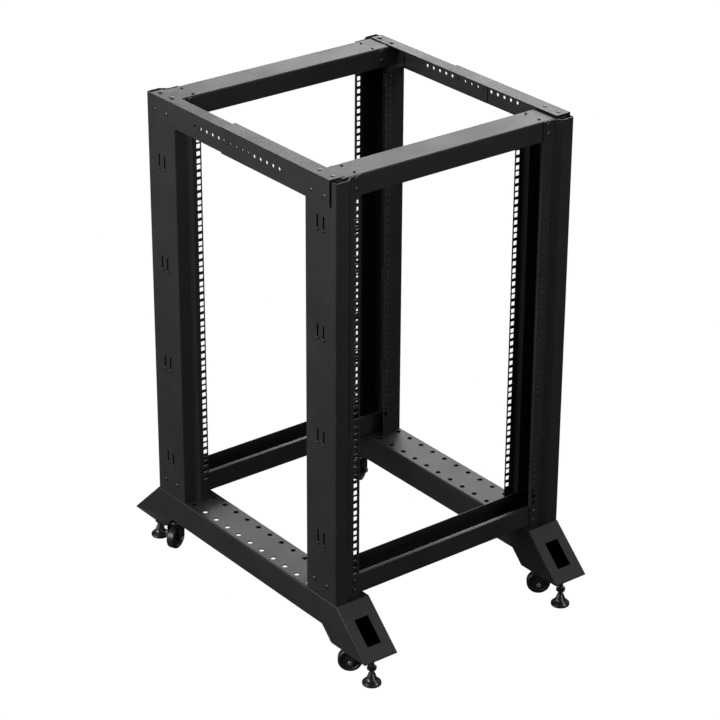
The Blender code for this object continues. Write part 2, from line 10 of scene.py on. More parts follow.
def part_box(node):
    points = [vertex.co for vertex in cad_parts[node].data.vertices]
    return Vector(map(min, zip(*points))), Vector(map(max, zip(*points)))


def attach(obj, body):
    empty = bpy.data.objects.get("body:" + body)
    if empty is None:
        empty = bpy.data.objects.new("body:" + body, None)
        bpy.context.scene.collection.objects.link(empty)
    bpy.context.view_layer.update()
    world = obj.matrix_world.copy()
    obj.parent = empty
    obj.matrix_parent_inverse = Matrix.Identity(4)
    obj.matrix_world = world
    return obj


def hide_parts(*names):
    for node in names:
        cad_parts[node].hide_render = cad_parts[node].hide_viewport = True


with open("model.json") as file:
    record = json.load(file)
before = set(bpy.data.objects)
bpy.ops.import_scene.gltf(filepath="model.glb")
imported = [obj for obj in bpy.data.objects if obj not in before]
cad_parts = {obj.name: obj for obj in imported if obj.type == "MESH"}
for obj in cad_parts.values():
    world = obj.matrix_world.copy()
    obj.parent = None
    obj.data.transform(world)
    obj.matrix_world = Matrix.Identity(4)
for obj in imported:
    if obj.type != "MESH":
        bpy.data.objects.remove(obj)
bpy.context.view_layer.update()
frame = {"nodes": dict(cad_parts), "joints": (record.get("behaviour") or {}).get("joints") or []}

SIDES = {"left": -1, "right": 1}
ENDS = {"front": -1, "rear": 1}
CORNERS = [(end, side) for end in ENDS for side in SIDES]

# Camera, solved from the photograph, which is 720 pixels wide
PICTURE_WIDTH = 720
SENSOR_WIDTH = 36.0
FOCAL_PIXELS = 2620.5
CAMERA_AZIMUTH = -37.892
CAMERA_ELEVATION = 25.781
CAMERA_ROLL = 0.275
CAMERA_PLACE = (-2.9679, -3.8159, 2.8344)
CENTRE_OFFSET = (-2.61, -2.53)
CLIP_END = 100

# Edge rounding, larger on the outer folds of a base rail, which are told by how far their faces rise
MERGE = 0.00002
FLAT_ANGLE = math.radians(0.3)
ROUND_ANGLE = math.radians(38)
SHEET_ROUNDING = 0.0005
FORK_ROUNDING = 0.0008
FOLD_ROUNDING = 0.0030
ROUNDING_STEPS = 2
FACE_WEIGHT = 100
LEAST_RISE_OF_TOP = 0.3
MOST_RISE_OF_SIDE = 0.1

# Angle in degrees past which an edge of a turned or pressed piece stays sharp
SHARP = {"head": 32, "bridge": 20, "tongue": 60, "pad": 40, "stud": 25, "nut": 28, "collar": 40, "wheel": 30}

# Shared by several pieces: the sheet of posts and beams, and the gap that keeps faces from coinciding
POST_SHEET = 0.002
SURFACE_GAP = 0.00005
HEAD_SIDES = 28
HEXAGON_SIDES = 6
QUARTER_TURN = 90
RECTANGLE = ((-1, -1), (1, -1), (1, 1), (-1, 1))

# Screws with a domed head and a cross recess, each turned on from the one before, in degrees
SCREW_RADIUS = 0.0052
SCREW_HEIGHT = 0.0024
SCREW_FLAT_SHARE = 0.45
SCREW_RISE_SHARE = 0.72
SCREW_ARC_STEPS = 6
SCREW_TURN = 37
CROSS_LENGTH = 0.0046
CROSS_WIDTH = 0.0011
CROSS_DEPTH = 0.0013
RAIL_SCREW_SINK = {"front": 0.0014, "rear": 0.0004}

# Slots in the post webs: units from the top of the hole pattern, and the tongue under each
RACK_UNIT = 0.04445
UNITS_TOP = 1.0067
SLOT_UNITS = {"front_left": 1, "front_right": 2, "rear_left": 2, "rear_right": 1}
SLOT_PAIRS = 4
SLOT_PAIR_UNITS = 5
SLOT_PLACES = (0.25205, 0.27105)
SLOT_HALF_LENGTH = 0.013
TONGUE_DROP = 0.0034
TONGUE_RADIUS = 0.0040
TONGUE_RISE = 0.0028
TONGUE_STEPS = 6
BRIDGE_WIDTH = 0.0100
BRIDGE_REACH = 0.0060
BRIDGE_SHEET = 0.0012
BRIDGE_OVERLAP = 0.0030

# Places of the screws: heights from the post's lower end, the rest from the rack's middle
STRIP_COLUMN = 0.2345
STRIP_RECESS = 0.0115
STRIP_LOW_HEIGHTS = (0.0120, 0.0330)
STRIP_TOP_HEIGHTS = (0.8655, 0.8855)
INNER_COLUMN = 0.2405
WEB_HEIGHT = 0.0326
WEB_PLACES = (0.2403, 0.2803)
RAIL_TOP_COLUMN = 0.2755
RAIL_TOP_PLACES = (0.2410, 0.2800)
RAIL_WEB_PLACES = (0.2380, 0.2780)
RAIL_WEB_DROP = {"front": 0.0365, "rear": 0.0295}
LAP_SCREW_PLACES = (-0.0400, 0.0400)
LAP_SCREW_DROP = 0.0264

# Rivets of the top beams, with their profile as shares of radius and rise
RIVET_COLUMN = 0.2250
RIVET_PLACES = (0.2410, 0.2800)
RIVET_RADIUS = 0.0029
RIVET_RISE = 0.0019
RIVET_PROFILE_SHARES = ((0, 0), (1, 0), (0.95, 0.3), (0.75, 0.7), (0.40, 0.95), (0, 1))

# Lips of the bottom beams
LIP_REACH = 0.0100
LIP_INSET = 0.0004
LIP_END_GAP = 0.0010
LIP_ROUNDING = 0.0008

# Levelling foot: a flat pad that rises to a cone, drawn as points of (radius, height) and as arcs of
# (start, stop, steps) with angles in degrees
LEVELLER_X = 0.2490
LEVELLER_Y = 0.3735
PAD_RADIUS = 0.0195
PAD_SIDES = 72
PAD_FLAT_INSET = 0.0016
PAD_LOWER_ROUNDING = 0.0012
PAD_LOWER_ARC = (-60, 0, 4)
PAD_UPPER_ROUNDING = 0.0022
PAD_UPPER_HEIGHT = 0.0038
PAD_UPPER_ARC = (0, 62, 6)
PAD_SLOPE = ((0.0172, 0.0071), (0.0152, 0.0088), (0.0132, 0.0103), (0.0117, 0.0118))
CONE_SLOPE = ((0.0108, 0.0133), (0.0101, 0.0152), (0.0092, 0.0178), (0.0080, 0.0212),
              (0.0068, 0.0243), (0.0060, 0.0262))
CONE_ROUNDING = 0.0008
CONE_ROUNDING_CENTRE = (0.0052, 0.0262)
CONE_ARC = (10, 90, 4)
CONE_TOP = 0.0270

# Its threaded stud
STUD_RADIUS = 0.0050
STUD_ROOT = 0.0043
STUD_SINK = 0.0010
THREAD_PITCH = 0.0015
THREAD_SIDES = 24
ROWS_A_TURN = 2
SPARE_ROWS = 2

# Its nut, cut from a hexagon by a turned limit that leaves the chamfers
NUT_LOW = 0.0330
NUT_HIGH = 0.0410
NUT_WIDTH = 0.017
NUT_CORNER = NUT_WIDTH / math.sqrt(3)
NUT_START = 30
NUT_BORE_GAP = 0.0001
NUT_CHAMFER_RADIUS = 0.0084
NUT_CHAMFER_SHARE = 0.6
NUT_LIMIT_MARGIN = 0.001
NUT_LIMIT_REACH = 0.0005
NUT_LIMIT_SIDES = 48

# Caster collar, with a waist between two rounded races and arcs as above
COLLAR_RADIUS = 0.0105
COLLAR_FLAT_INSET = 0.0008
COLLAR_WAIST = 0.0016
COLLAR_WAIST_SHARE = 1.06
COLLAR_ROUND_SHARE = 0.45
COLLAR_LOWER_ARC = (-80, 60, 6)
COLLAR_UPPER_ARC = (-60, 80, 6)
COLLAR_SIDES = 48

# Caster wheel, with half distances along its axle
WHEEL_RADIUS = 0.025
WHEEL_HALF_WIDTH = 0.009
WHEEL_SIDES = 80
TREAD_ROUNDING = 0.0035
TREAD_ARC = (90, 0, 7)
RIM_INNER_RADIUS = 0.0188
RIM_OUTER_RADIUS = 0.0192
RIM_CHAMFER = 0.0003
DISC_HALF_WIDTH = 0.0066
DISC_INNER_RADIUS = 0.0085
DISC_OUTER_RADIUS = 0.0175
DISC_STEP = (0.0180, 0.0070)
HUB_RADIUS = 0.0070
HUB_REACH = 0.0137
HUB_CHAMFER = 0.0006
HUB_ROOT = 0.0072

# Axle bolt with its nut
AXLE_RADIUS = 0.0030
AXLE_GAP = 0.0002
AXLE_SIDES = 24
AXLE_FACE = 0.0163
AXLE_HEAD_HEIGHT = 0.0028
AXLE_HEAD_RADIUS = 0.0053
AXLE_NUT_SHARE = 0.85
AXLE_ROUNDING = 0.0003

# Stage
FLOOR_SIZE = 60.0
FLOOR_DROP = 0.0002
FLOOR_TONE = 1.0
DOME_RADIUS = 29.0
DOME_DETAIL = 4

# Light
LIGHTS = {
    "left_side": {"place": (-4.2, 0.5, 2.3), "size": (2.6, 2.2), "power": 118.0},
    "left_rear_low": {"place": (-4.2, 2.6, 1.0), "size": (2.5, 2.0), "power": 43.0},
    "front_low": {"place": (0.5, -4.5, 0.8), "size": (3.0, 2.0), "power": 26.0},
    "front_right_high": {"place": (2.2, -3.4, 3.4), "size": (2.0, 2.0), "power": 33.0},
    "top": {"place": (0.0, 0.0, 4.2), "size": (3.0, 3.0), "power": 8.0},
    "right_high": {"place": (4.0, 1.0, 3.0), "size": (3.0, 3.0), "power": 50.0},
    "rear_right": {"place": (3.8, 4.8, 3.0), "size": (2.5, 2.0), "power": 112.0},
    "right_rear_high": {"place": (4.8, 3.0, 3.0), "size": (2.5, 2.5), "power": 47.0},
}
AIM = Vector((0, 0, 0.6))
WORLD_TONE = 0.03

# Kinds of coat. Clouds are (scale, detail, roughness) of a noise, which blends two shares of the tone
# and adds the haze to the roughness. Relief is a list of (noise, strength, depth in metres)
NOISE_SPAN = (0.3, 0.7)
KINDS = {
    "powder": {"clouds": (11, 4, 0.6), "shades": (0.88, 1.14), "haze": (-0.03, 0.03),
               "relief": [((1500, 3, 0.6), 0.10, 0.0002), ((420, 2, 0.5), 0.11, 0.0004)]},
    "turned_steel": {"clouds": (160, 3, 0.5), "shades": (0.8, 1.25), "haze": (-0.05, 0.06),
                     "relief": [((2600, 2, 0.5), 0.08, 0.0001)]},
    "zinc": {"clouds": (240, 4, 0.6), "shades": (0.82, 1.0), "haze": (-0.06, 0.08),
             "relief": [((3000, 2, 0.5), 0.10, 0.0001)]},
    "moulded": {"clouds": (60, 3, 0.5), "shades": (0.85, 1.2), "haze": (-0.03, 0.05),
                "relief": [((900, 2, 0.5), 0.05, 0.0002)]},
}

# Coats: the material's name, the kind, the tone, the roughness and constants for the shader's sockets
COAT_FACTS = {
    "powder": ("black_powder_coat", "powder", (0.0235, 0.0235, 0.0240), 0.50, {"Specular IOR Level": 0.5}),
    "screw": ("black_screw_steel", "turned_steel", (0.110, 0.110, 0.113), 0.36, {"Metallic": 0.8}),
    "nut": ("black_nut_steel", "turned_steel", (0.030, 0.030, 0.032), 0.36, {"Metallic": 0.5}),
    "stud": ("black_stud_steel", "turned_steel", (0.035, 0.035, 0.036), 0.34, {"Metallic": 0.5}),
    "fork": ("black_fork_paint", "powder", (0.018, 0.018, 0.018), 0.38, {"Specular IOR Level": 0.5}),
    "zinc": ("bright_zinc", "zinc", (0.86, 0.86, 0.85), 0.42, {"Metallic": 1.0}),
    "pad": ("glossy_pad_plastic", "moulded", (0.020, 0.020, 0.020), 0.30,
            {"Coat Weight": 0.9, "Coat Roughness": 0.18}),
    "wheel": ("black_wheel_nylon", "moulded", (0.022, 0.022, 0.022), 0.40,
              {"Coat Weight": 0.3, "Coat Roughness": 0.18}),
}


def noise(tree, place, facts):
    """Add a noise of (scale, detail, roughness) in metres."""
    made = tree.nodes.new("ShaderNodeTexNoise")
    made.inputs["Scale"].default_value = facts[0]
    made.inputs["Detail"].default_value = facts[1]
    made.inputs["Roughness"].default_value = facts[2]
    tree.links.new(place, made.inputs["Vector"])
    return made.outputs["Fac"]


def span(tree, pattern, low, high):
    """Map a pattern onto a range."""
    made = tree.nodes.new("ShaderNodeMapRange")
    made.inputs["From Min"].default_value = NOISE_SPAN[0]
    made.inputs["From Max"].default_value = NOISE_SPAN[1]
    made.inputs["To Min"].default_value = low
    made.inputs["To Max"].default_value = high
    tree.links.new(pattern, made.inputs["Value"])
    return made.outputs["Result"]


def shade_between(tree, pattern, dark, light):
    """Blend two tones by a pattern."""
    ramp = tree.nodes.new("ShaderNodeValToRGB")
    for element, place, tone in zip(ramp.color_ramp.elements, NOISE_SPAN, (dark, light)):
        element.position = place
        element.color = (*tone, 1)
    tree.links.new(pattern, ramp.inputs["Fac"])
    return ramp.outputs["Color"]


def bump(tree, before, pattern, strength, depth):
    """Add a bump to the one before it, if there is one."""
    made = tree.nodes.new("ShaderNodeBump")
    made.inputs["Strength"].default_value = strength
    made.inputs["Distance"].default_value = depth
    tree.links.new(pattern, made.inputs["Height"])
    if before is not None:
        tree.links.new(before, made.inputs["Normal"])
    return made.outputs["Normal"]


def coat(name, kind, tone, roughness, constants):
    """Make a procedural coat of one kind, with constants for the shader's own sockets."""
    made = bpy.data.materials.new(name)
    made.use_nodes = True
    tree = made.node_tree
    shader = tree.nodes["Principled BSDF"]
    place = tree.nodes.new("ShaderNodeTexCoord").outputs["Object"]
    facts = KINDS[kind]
    clouds = noise(tree, place, facts["clouds"])
    dark, light = [tuple(part * share for part in tone) for share in facts["shades"]]
    low, high = [roughness + step for step in facts["haze"]]
    tree.links.new(shade_between(tree, clouds, dark, light), shader.inputs["Base Color"])
    tree.links.new(span(tree, clouds, low, high), shader.inputs["Roughness"])
    relief = None
    for grain, strength, depth in facts["relief"]:
        relief = bump(tree, relief, noise(tree, place, grain), strength, depth)
    tree.links.new(relief, shader.inputs["Normal"])
    for socket, value in constants.items():
        shader.inputs[socket].default_value = value
    return made


COATS = {label: coat(*facts) for label, facts in COAT_FACTS.items()}


def linked(name, data):
    """Stand some data in the scene as an object."""
    item = bpy.data.objects.new(name, data)
    bpy.context.scene.collection.objects.link(item)
    return item


def mesh_data(name, shape):
    """Turn a bmesh into mesh data."""
    data = bpy.data.meshes.new(name)
    shape.to_mesh(data)
    shape.free()
    return data


def smooth(data, sharp):
    """Shade mesh data smooth, except at edges sharper than an angle in degrees."""
    data.shade_smooth()
    data.set_sharp_from_angle(angle=math.radians(sharp))


def mesh_object(name, shape, material, sharp=None):
    """Turn a bmesh into a linked object with its coat, shaded smooth if an angle is given."""
    bmesh.ops.recalc_face_normals(shape, faces=shape.faces)
    item = linked(name, mesh_data(name, shape))
    item.data.materials.append(material)
    if sharp is not None:
        smooth(item.data, sharp)
    return item


def arc(centre, radius, facts):
    """Give the points of an arc in a turned profile, from (start, stop, steps) with angles in degrees."""
    start, stop, steps = facts
    points = []
    for step in range(steps + 1):
        turn = math.radians(start + (stop - start) * step / steps)
        points.append((centre[0] + radius * math.cos(turn), centre[1] + radius * math.sin(turn)))
    return points


def polygon(radius, sides, start=0):
    """Give the corners of a regular polygon, the first at an angle in degrees."""
    turns = [math.radians(360 / sides * index + start) for index in range(sides)]
    return [(radius * math.cos(turn), radius * math.sin(turn)) for turn in turns]


def turned(profile, sides, closed=False):
    """Spin a profile of radius and height about the vertical."""
    shape = bmesh.new()
    rings = []
    for radius, height in profile:
        if radius == 0:
            rings.append([shape.verts.new((0, 0, height))])
            continue
        rings.append([shape.verts.new((radius * math.cos(2 * math.pi * index / sides),
                                       radius * math.sin(2 * math.pi * index / sides),
                                       height)) for index in range(sides)])
    pairs = list(zip(rings, rings[1:]))
    if closed:
        pairs.append((rings[-1], rings[0]))
    for lower, upper in pairs:
        for index in range(sides):
            follow = (index + 1) % sides
            if len(lower) == 1:
                shape.faces.new((lower[0], upper[follow], upper[index]))
            elif len(upper) == 1:
                shape.faces.new((lower[index], lower[follow], upper[0]))
            else:
                shape.faces.new((lower[index], lower[follow], upper[follow], upper[index]))
    return shape


def add_prism(shape, outline, low, high):
    """Add an upright prism over a closed outline."""
    rings = [[shape.verts.new((point[0], point[1], level)) for point in outline]
             for level in (low, high)]
    count = len(outline)
    shape.faces.new(list(reversed(rings[0])))
    shape.faces.new(rings[1])
    for index in range(count):
        follow = (index + 1) % count
        shape.faces.new((rings[0][index], rings[0][follow], rings[1][follow], rings[1][index]))


def stamp(shape, source, matrix):
    """Add a copy of some mesh data to a shape, moved by a matrix."""
    before = len(shape.verts)
    shape.from_mesh(source)
    shape.verts.ensure_lookup_table()
    bmesh.ops.transform(shape, matrix=matrix, verts=shape.verts[before:])


def facing(way, level="Y"):
    """Give the turn that points the vertical along a way."""
    return Vector(way).to_track_quat("Z", level).to_matrix().to_4x4()


def boolean_result(base, tool, operation):
    """Combine two shapes and give the resulting mesh data."""
    pair = []
    for label, shape in (("base", base), ("tool", tool)):
        bmesh.ops.recalc_face_normals(shape, faces=shape.faces)
        pair.append(linked("scratch_" + label, mesh_data("scratch_" + label, shape)))
    step = pair[0].modifiers.new("combine", "BOOLEAN")
    step.operation = operation
    step.solver = "EXACT"
    step.object = pair[1]
    shown = pair[0].evaluated_get(bpy.context.evaluated_depsgraph_get())
    result = bpy.data.meshes.new_from_object(shown)
    for item in pair:
        bpy.data.objects.remove(item, do_unlink=True)
    return result


def reach(node, axis):
    """Give the far side of a node of the frame, from the rack's middle, along x as 0 or y as 1."""
    return max(abs(corner[axis]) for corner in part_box(node))


def mark_folds(shape):
    """Give the outer lengthwise folds of a base rail a bevel weight of their own."""
    weight = shape.edges.layers.float.new("bevel_weight_edge")
    sides = [min(vert.co.x for vert in shape.verts), max(vert.co.x for vert in shape.verts)]
    shape.normal_update()
    for edge in shape.edges:
        outside = any(all(abs(vert.co.x - side) < MERGE * 2 for vert in edge.verts) for side in sides)
        if outside and len(edge.link_faces) == 2:
            rises = [face.normal.z for face in edge.link_faces]
            if max(rises) > LEAST_RISE_OF_TOP and min(rises) < MOST_RISE_OF_SIDE:
                edge[weight] = 1.0


def soften(node, body, material, width, fold=0):
    """Stand a copy with rounded edges in for a folded sheet node."""
    shape = bmesh.new()
    shape.from_mesh(frame["nodes"][node].data)
    bmesh.ops.remove_doubles(shape, verts=shape.verts, dist=MERGE)
    bmesh.ops.dissolve_limit(shape, angle_limit=FLAT_ANGLE, verts=shape.verts, edges=shape.edges)
    if fold:
        mark_folds(shape)
    item = mesh_object(node + "_finished", shape, material)
    item.data.shade_smooth()
    if fold:
        bend = item.modifiers.new("fold_rounding", "BEVEL")
        bend.width = fold
        bend.segments = ROUNDING_STEPS * 2
        bend.limit_method = "WEIGHT"
        bend.use_clamp_overlap = False
    rounding = item.modifiers.new("edge_rounding", "BEVEL")
    rounding.width = width
    rounding.segments = ROUNDING_STEPS
    rounding.limit_method = "ANGLE"
    rounding.angle_limit = ROUND_ANGLE
    weights = item.modifiers.new("face_weights", "WEIGHTED_NORMAL")
    weights.mode = "FACE_AREA"
    weights.weight = FACE_WEIGHT
    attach(item, body)
    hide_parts(node)


def build_frame():
    """Dress the folded sheet pieces."""
    for end, side in CORNERS:
        soften("post_" + end + "_" + side, "frame", COATS["powder"], SHEET_ROUNDING)
    for side in SIDES:
        soften(side + "_base_rail", "frame", COATS["powder"], SHEET_ROUNDING * 2,
               FOLD_ROUNDING)
        for end in ENDS:
            soften(side + "_top_rail_" + end + "_piece", "frame", COATS["powder"],
                   SHEET_ROUNDING)
    for end in ENDS:
        for level in ("top", "bottom"):
            soften(end + "_" + level + "_beam", "frame", COATS["powder"], SHEET_ROUNDING)


def screw_data():
    """Build one screw head: a low dome with a cross recess."""
    flat = SCREW_RADIUS * SCREW_FLAT_SHARE
    rise = SCREW_HEIGHT * SCREW_RISE_SHARE
    edge = SCREW_HEIGHT - rise
    profile = [(0, 0), (SCREW_RADIUS, 0), (SCREW_RADIUS, edge)]
    for step in range(1, SCREW_ARC_STEPS + 1):
        turn = math.pi / 2 * step / SCREW_ARC_STEPS
        profile.append((flat + (SCREW_RADIUS - flat) * math.cos(turn), edge + rise * math.sin(turn)))
    profile.append((0, SCREW_HEIGHT))
    dome = turned(profile, HEAD_SIDES)
    cross = bmesh.new()
    half = CROSS_LENGTH / 2
    arm = CROSS_WIDTH / 2
    outline = [(arm, arm), (arm, half), (-arm, half), (-arm, arm), (-half, arm), (-half, -arm),
               (-arm, -arm), (-arm, -half), (arm, -half), (arm, -arm), (half, -arm), (half, arm)]
    add_prism(cross, outline, SCREW_HEIGHT - CROSS_DEPTH, SCREW_HEIGHT + CROSS_DEPTH)
    return boolean_result(dome, cross, "DIFFERENCE")


def screw_places():
    """Give each screw as a point on its sheet and the way it faces."""
    places = []
    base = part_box("post_front_left")[0].z
    for end, side in CORNERS:
        across = SIDES[side]
        along = ENDS[end]
        post = "post_" + end + "_" + side
        strip = along * (reach(post, 1) - STRIP_RECESS)
        for height in STRIP_LOW_HEIGHTS + STRIP_TOP_HEIGHTS:
            places.append(((across * STRIP_COLUMN, strip, base + height), (0, along, 0)))
        inner = along * min(abs(corner.y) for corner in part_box(end + "_top_beam"))
        for height in STRIP_TOP_HEIGHTS:
            places.append(((across * INNER_COLUMN, inner, base + height), (0, -along, 0)))
        web = across * reach(post, 0)
        for place in WEB_PLACES:
            places.append(((web, along * place, base + WEB_HEIGHT), (across, 0, 0)))
        rail = side + "_top_rail_" + end + "_piece"
        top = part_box(rail)[1].z
        face = across * (reach(rail, 0) - RAIL_SCREW_SINK[end])
        for place in RAIL_TOP_PLACES:
            places.append(((across * RAIL_TOP_COLUMN, along * place, top - RAIL_SCREW_SINK[end]), (0, 0, 1)))
        for place in RAIL_WEB_PLACES:
            places.append(((face, along * place, top - RAIL_WEB_DROP[end]), (across, 0, 0)))
    for side, across in SIDES.items():
        rail = side + "_top_rail_front_piece"
        face = across * (reach(rail, 0) - RAIL_SCREW_SINK["front"])
        for place in LAP_SCREW_PLACES:
            places.append(((face, place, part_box(rail)[1].z - LAP_SCREW_DROP), (across, 0, 0)))
    return places


def build_screws():
    """Set all screw heads of the frame as one joined mesh."""
    source = screw_data()
    shape = bmesh.new()
    for index, (point, way) in enumerate(screw_places()):
        spin = Matrix.Rotation(math.radians(SCREW_TURN * index % QUARTER_TURN), 4, "Z")
        move = Matrix.Translation(Vector(point) + Vector(way) * SURFACE_GAP)
        stamp(shape, source, move @ facing(way) @ spin)
    item = mesh_object("frame_screw_heads", shape, COATS["screw"], SHARP["head"])
    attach(item, "frame")


def bridge_rings():
    """Give the bridge behind a slot as rings of (half length, half width, depth), outside and then inside."""
    rim = SLOT_HALF_LENGTH + BRIDGE_OVERLAP
    crown = SLOT_HALF_LENGTH + BRIDGE_OVERLAP / 2
    half = BRIDGE_WIDTH / 2
    wall = BRIDGE_SHEET
    return [(rim, half, 0), (crown, half - wall, BRIDGE_REACH),
            (crown - wall, half - wall * 2, BRIDGE_REACH - wall), (rim - wall, half - wall, 0)]


def add_bridge(shape, rings, point, inward):
    """Add one hollow bridge, open at the sheet, which reaches inward from a point."""
    loops = []
    for half_length, half_width, depth in rings:
        loops.append([shape.verts.new((point[0] + inward * depth, point[1] + wide * half_width,
                                       point[2] + tall * half_length)) for wide, tall in RECTANGLE])
    outer_rim, outer_crown, inner_crown, inner_rim = loops
    shape.faces.new(outer_crown)
    shape.faces.new(inner_crown)
    for before, after in ((outer_rim, outer_crown), (inner_crown, inner_rim), (inner_rim, outer_rim)):
        for index in range(len(RECTANGLE)):
            follow = (index + 1) % len(RECTANGLE)
            shape.faces.new((before[index], before[follow], after[follow], after[index]))


def tongue_data():
    """Build one low tongue, a flat dome."""
    quarter = arc((0, 0), 1, (0, QUARTER_TURN, TONGUE_STEPS))[1:-1]
    profile = [(0, 0), (TONGUE_RADIUS, 0)]
    profile += [(TONGUE_RADIUS * out, TONGUE_RISE * up) for out, up in quarter]
    profile += [(0, TONGUE_RISE)]
    return mesh_data("tongue", turned(profile, HEAD_SIDES))


def build_slots():
    """Press a closed bridge behind every slot and a low tongue under it."""
    source = tongue_data()
    rings = bridge_rings()
    bridges = bmesh.new()
    tongues = bmesh.new()
    for end, side in CORNERS:
        across = SIDES[side]
        label = end + "_" + side
        web = reach("post_" + label, 0)
        for pair in range(SLOT_PAIRS):
            centre = UNITS_TOP - (SLOT_UNITS[label] + pair * SLOT_PAIR_UNITS) * RACK_UNIT
            for place in SLOT_PLACES:
                y = ENDS[end] * place
                add_bridge(bridges, rings, (across * (web - POST_SHEET - SURFACE_GAP), y, centre), -across)
                foot = (across * (web + SURFACE_GAP), y, centre - SLOT_HALF_LENGTH - TONGUE_DROP)
                stamp(tongues, source, Matrix.Translation(foot) @ facing((across, 0, 0)))
    for name, shape, sharp in (("slot_bridges", bridges, SHARP["bridge"]),
                               ("slot_tongues", tongues, SHARP["tongue"])):
        item = mesh_object(name, shape, COATS["powder"], sharp)
        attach(item, "frame")


def build_rivets():
    """Set the small rivets in the top beams, beside the rails."""
    profile = [(RIVET_RADIUS * out, RIVET_RISE * up) for out, up in RIVET_PROFILE_SHARES]
    source = mesh_data("rivet", turned(profile, HEAD_SIDES))
    shape = bmesh.new()
    for end, side in CORNERS:
        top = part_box(end + "_top_beam")[1].z + SURFACE_GAP
        for place in RIVET_PLACES:
            stamp(shape, source, Matrix.Translation((SIDES[side] * RIVET_COLUMN, ENDS[end] * place, top)))
    item = mesh_object("beam_rivets", shape, COATS["nut"], SHARP["head"])
    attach(item, "frame")


def build_lips():
    """Turn the upper edge at the front of each bottom beam inward as a narrow lip."""
    shape = bmesh.new()
    for end in ENDS:
        low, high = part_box(end + "_bottom_beam")
        near, far = low.y + LIP_INSET, low.y + LIP_REACH
        left, right = low.x + LIP_END_GAP, high.x - LIP_END_GAP
        outline = [(left, near), (right, near), (right, far), (left, far)]
        add_prism(shape, outline, high.z - POST_SHEET, high.z + SURFACE_GAP)
    item = mesh_object("bottom_beam_lips", shape, COATS["powder"])
    item.data.shade_smooth()
    rounding = item.modifiers.new("edge_rounding", "BEVEL")
    rounding.width = LIP_ROUNDING
    rounding.segments = ROUNDING_STEPS
    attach(item, "frame")


def thread(shape, low, high, sides):
    """Add a threaded rod between two heights, with flat ends, as a helix of roots and crests."""
    rows = int((high - low) / THREAD_PITCH * ROWS_A_TURN) + SPARE_ROWS * 2
    grid = []
    for row in range(rows):
        ring = []
        for index in range(sides):
            share = index / sides
            height = low + (row - SPARE_ROWS + share * ROWS_A_TURN) * THREAD_PITCH / ROWS_A_TURN
            radius = STUD_ROOT if row % ROWS_A_TURN else STUD_RADIUS
            if not low < height < high:
                radius = STUD_ROOT
            turn = 2 * math.pi * share
            ring.append(shape.verts.new((radius * math.cos(turn), radius * math.sin(turn),
                                         min(max(height, low), high))))
        grid.append(ring)
    last = sides - 1
    for row in range(rows - 1):
        for index in range(last):
            shape.faces.new((grid[row][index], grid[row][index + 1],
                             grid[row + 1][index + 1], grid[row + 1][index]))
    for row in range(rows - 1 - ROWS_A_TURN):
        shape.faces.new((grid[row + ROWS_A_TURN][0], grid[row][last],
                         grid[row + 1][last], grid[row + 1 + ROWS_A_TURN][0]))
    bmesh.ops.remove_doubles(shape, verts=shape.verts, dist=MERGE / 2)
    bmesh.ops.dissolve_degenerate(shape, dist=MERGE / 4, edges=shape.edges)
    bmesh.ops.holes_fill(shape, edges=shape.edges, sides=0)


def pad_profile():
    """Give the outline of a pad with its cone, from the middle of the underside to the top."""
    profile = [(0, 0.0), (PAD_RADIUS - PAD_FLAT_INSET, 0.0)]
    profile += arc((PAD_RADIUS - PAD_LOWER_ROUNDING, PAD_LOWER_ROUNDING), PAD_LOWER_ROUNDING, PAD_LOWER_ARC)
    profile += arc((PAD_RADIUS - PAD_UPPER_ROUNDING, PAD_UPPER_HEIGHT), PAD_UPPER_ROUNDING, PAD_UPPER_ARC)
    profile += PAD_SLOPE + CONE_SLOPE
    profile += arc(CONE_ROUNDING_CENTRE, CONE_ROUNDING, CONE_ARC)
    profile += [(0, CONE_TOP)]
    return profile


def nut_data():
    """Build one hexagon nut with chamfered corners, standing at its height on the stud."""
    hexagon = bmesh.new()
    add_prism(hexagon, polygon(NUT_CORNER, HEXAGON_SIDES, NUT_START), NUT_LOW, NUT_HIGH)
    chamfer = (NUT_CORNER - NUT_CHAMFER_RADIUS) * NUT_CHAMFER_SHARE
    bore = STUD_RADIUS + NUT_BORE_GAP
    narrow = NUT_CHAMFER_RADIUS - NUT_LIMIT_MARGIN
    wide = NUT_CORNER + NUT_LIMIT_REACH
    limit = [(bore, NUT_LOW - NUT_LIMIT_MARGIN), (narrow, NUT_LOW - NUT_LIMIT_MARGIN),
             (NUT_CHAMFER_RADIUS, NUT_LOW), (wide, NUT_LOW + chamfer),
             (wide, NUT_HIGH - chamfer), (NUT_CHAMFER_RADIUS, NUT_HIGH),
             (narrow, NUT_HIGH + NUT_LIMIT_MARGIN), (bore, NUT_HIGH + NUT_LIMIT_MARGIN)]
    return boolean_result(hexagon, turned(limit, NUT_LIMIT_SIDES, closed=True), "INTERSECT")


